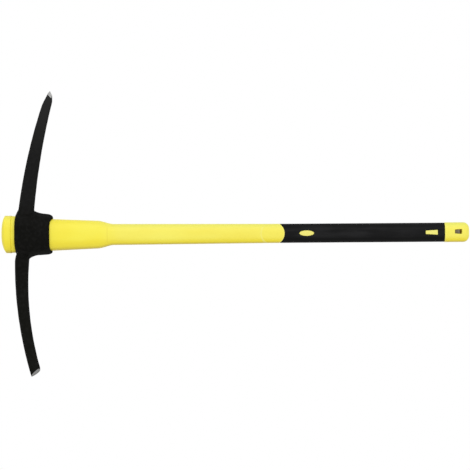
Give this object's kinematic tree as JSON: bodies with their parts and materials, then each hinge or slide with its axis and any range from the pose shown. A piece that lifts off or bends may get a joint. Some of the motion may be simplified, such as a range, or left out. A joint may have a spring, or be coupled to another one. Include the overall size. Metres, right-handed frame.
{
  "type": "pickaxe",
  "caption": "Pickaxe with a forged steel head, drawn to a point on one arm and a chisel edge on the other, on a jacketed fibreglass handle with a rubber grip.",
  "frame": {"origin": "middle of the flat face at the handle's eye end, on the handle's axis", "axes": "+X along the handle from the eye end to the butt, +Y to the side of the pick arm, +Z the tool's thickness as it lies on a cheek of its eye"},
  "size_m": [0.9, 0.5501, 0.062],
  "materials": {
    "painted_steel": "black paint over forged steel, ground bare at the point and the edge",
    "yellow_jacket": "satin yellow moulded polypropylene",
    "fibreglass": "sawn end of a pultruded glass fibre bar",
    "black_rubber": "matt moulded thermoplastic rubber"
  },
  "bodies": {
    "handle": {"handle_jacket": "yellow_jacket", "fibreglass_core": "fibreglass", "grip_sleeve": "black_rubber"},
    "head": {"pick_head": "painted_steel"}
  },
  "joints": [
    {"name": "head_slide", "type": "slide", "parent": "handle", "child": "head", "axis": [1, 0, 0], "range_m": [0, 0.9]}
  ]
}
